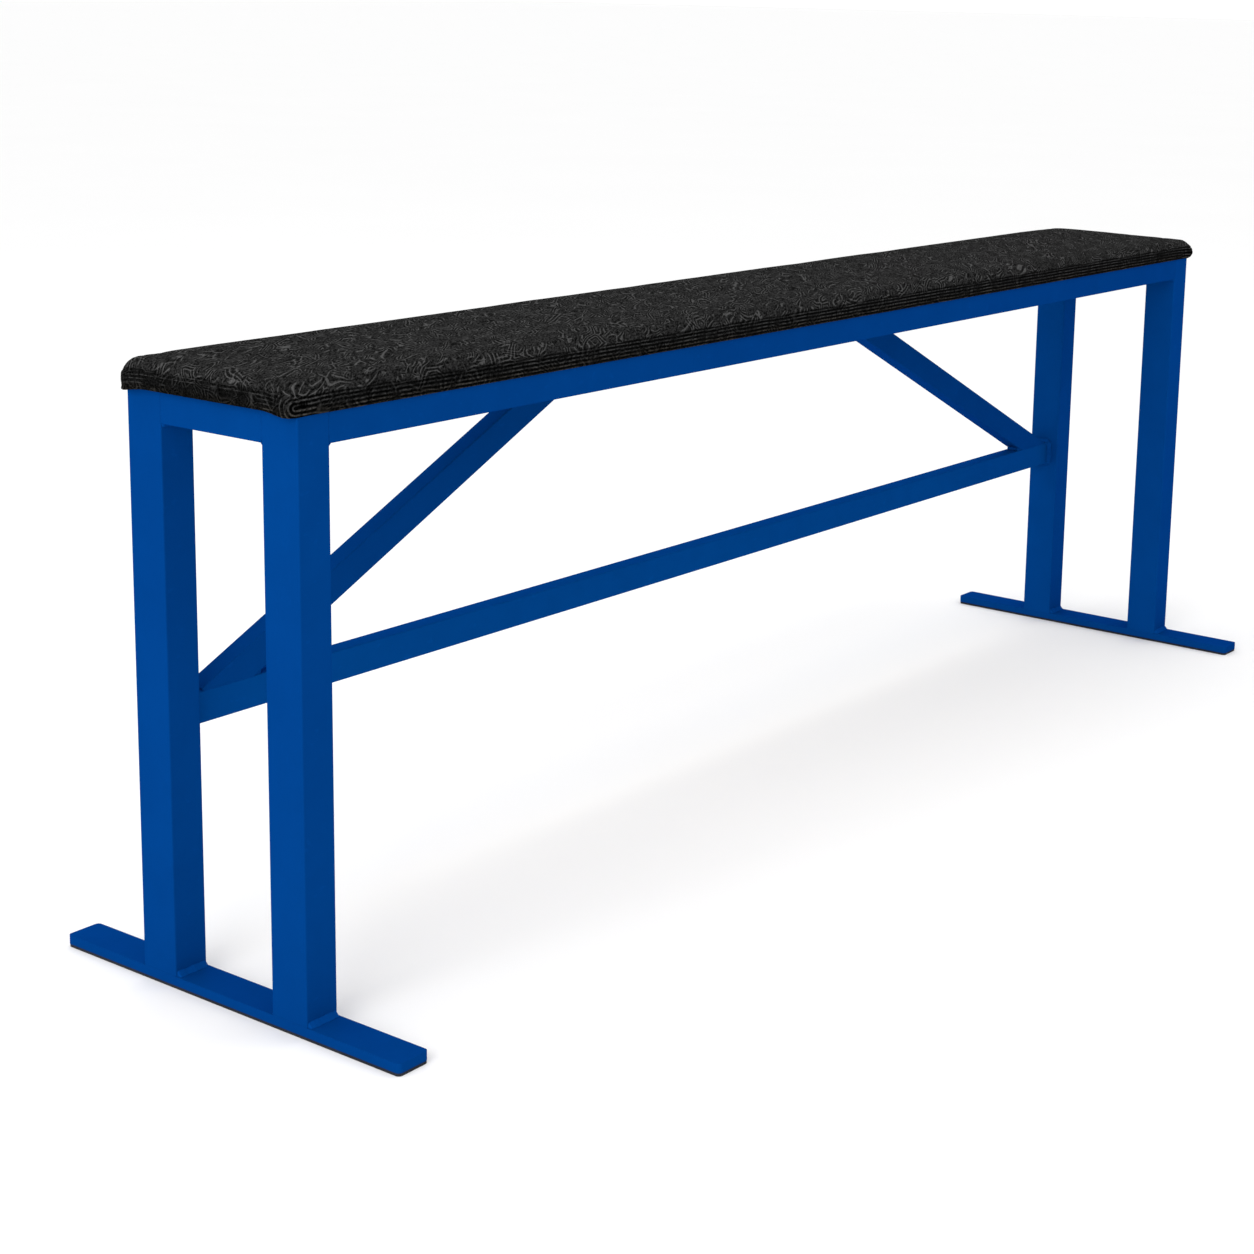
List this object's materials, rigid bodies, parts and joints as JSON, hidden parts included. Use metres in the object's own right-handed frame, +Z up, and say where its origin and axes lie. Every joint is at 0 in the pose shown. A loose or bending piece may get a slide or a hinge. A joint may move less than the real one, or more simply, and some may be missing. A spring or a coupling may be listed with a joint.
{
  "type": "padded training bench",
  "caption": "Long narrow bench on a welded steel tube frame, with a foam padded, carpet covered top on a plywood board.",
  "frame": {"origin": "on the floor, at the centre of the footprint", "axes": "+X along the bench, +Y towards the side with the mid-height stretcher and braces, +Z up"},
  "size_m": [2.35, 0.6, 0.796],
  "materials": {
    "frame_paint": "satin gloss paint",
    "weld_paint": "satin gloss paint over weld",
    "foot_rubber": "matt",
    "plywood": "raw plywood",
    "foam": "closed cell foam",
    "carpet": "low pile looped carpet",
    "zinc": "zinc plated"
  },
  "bodies": {
    "root": {"post_near_front": "frame_paint", "post_near_rear": "frame_paint", "post_far_front": "frame_paint", "post_far_rear": "frame_paint", "post_caps": "frame_paint", "top_rail_front": "frame_paint", "top_rail_rear": "frame_paint", "end_rail_near": "frame_paint", "end_rail_far": "frame_paint", "stretcher": "frame_paint", "brace_near": "frame_paint", "brace_far": "frame_paint", "foot_bar_near": "frame_paint", "foot_bar_far": "frame_paint", "foot_strip_near": "foot_rubber", "foot_strip_far": "foot_rubber", "weld_beads_feet": "weld_paint", "weld_beads_top_frame": "weld_paint", "weld_beads_stretcher": "weld_paint", "weld_beads_braces": "weld_paint", "weld_beads_tabs": "weld_paint", "deck_tabs": "frame_paint", "deck_board": "plywood", "foam_pad": "foam", "carpet_cover": "carpet", "deck_bolts": "zinc", "deck_washers": "zinc", "tee_nuts": "zinc", "cover_staples": "zinc"}
  },
  "joints": []
}
